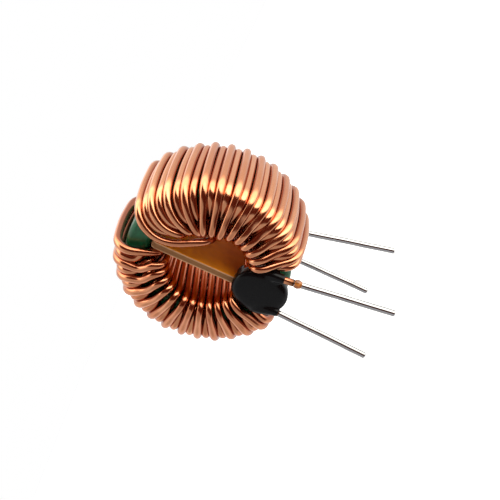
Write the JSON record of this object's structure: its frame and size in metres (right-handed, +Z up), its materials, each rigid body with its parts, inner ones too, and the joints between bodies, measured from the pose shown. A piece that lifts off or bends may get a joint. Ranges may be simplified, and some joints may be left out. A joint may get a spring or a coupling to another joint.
{
  "type": "toroidal inductor",
  "caption": "Choke on a coated ring core with enamelled copper windings in layers, a divider plate across the hole and tinned leads that point down into a board.",
  "frame": {"origin": "on the board's top surface, under the middle of the ring and in the plane of the divider plate", "axes": "+Z up from the board, leads towards -Z, the ring's axis along Y with its front face at -Y, the wider-leaded winding at +X"},
  "size_m": [0.0286, 0.0179, 0.0416],
  "materials": {
    "ferrite": "dull grey sintered ferrite",
    "coating": "glossy green epoxy coat",
    "enamelled_copper": "copper under clear glossy enamel",
    "laminate": "amber-brown pressed laminate",
    "epoxy": "glossy black cured epoxy",
    "tin": "bright dipped tin",
    "bead": "clear amber resin"
  },
  "bodies": {
    "root": {"ferrite_core": "ferrite", "core_coating": "coating", "winding_right": "enamelled_copper", "winding_left": "enamelled_copper", "divider_plate": "laminate", "epoxy_drop": "epoxy", "lead_front_right": "tin", "lead_back_right": "tin", "lead_front_left": "tin", "lead_back_left": "tin", "lead_bead": "bead"}
  },
  "joints": []
}
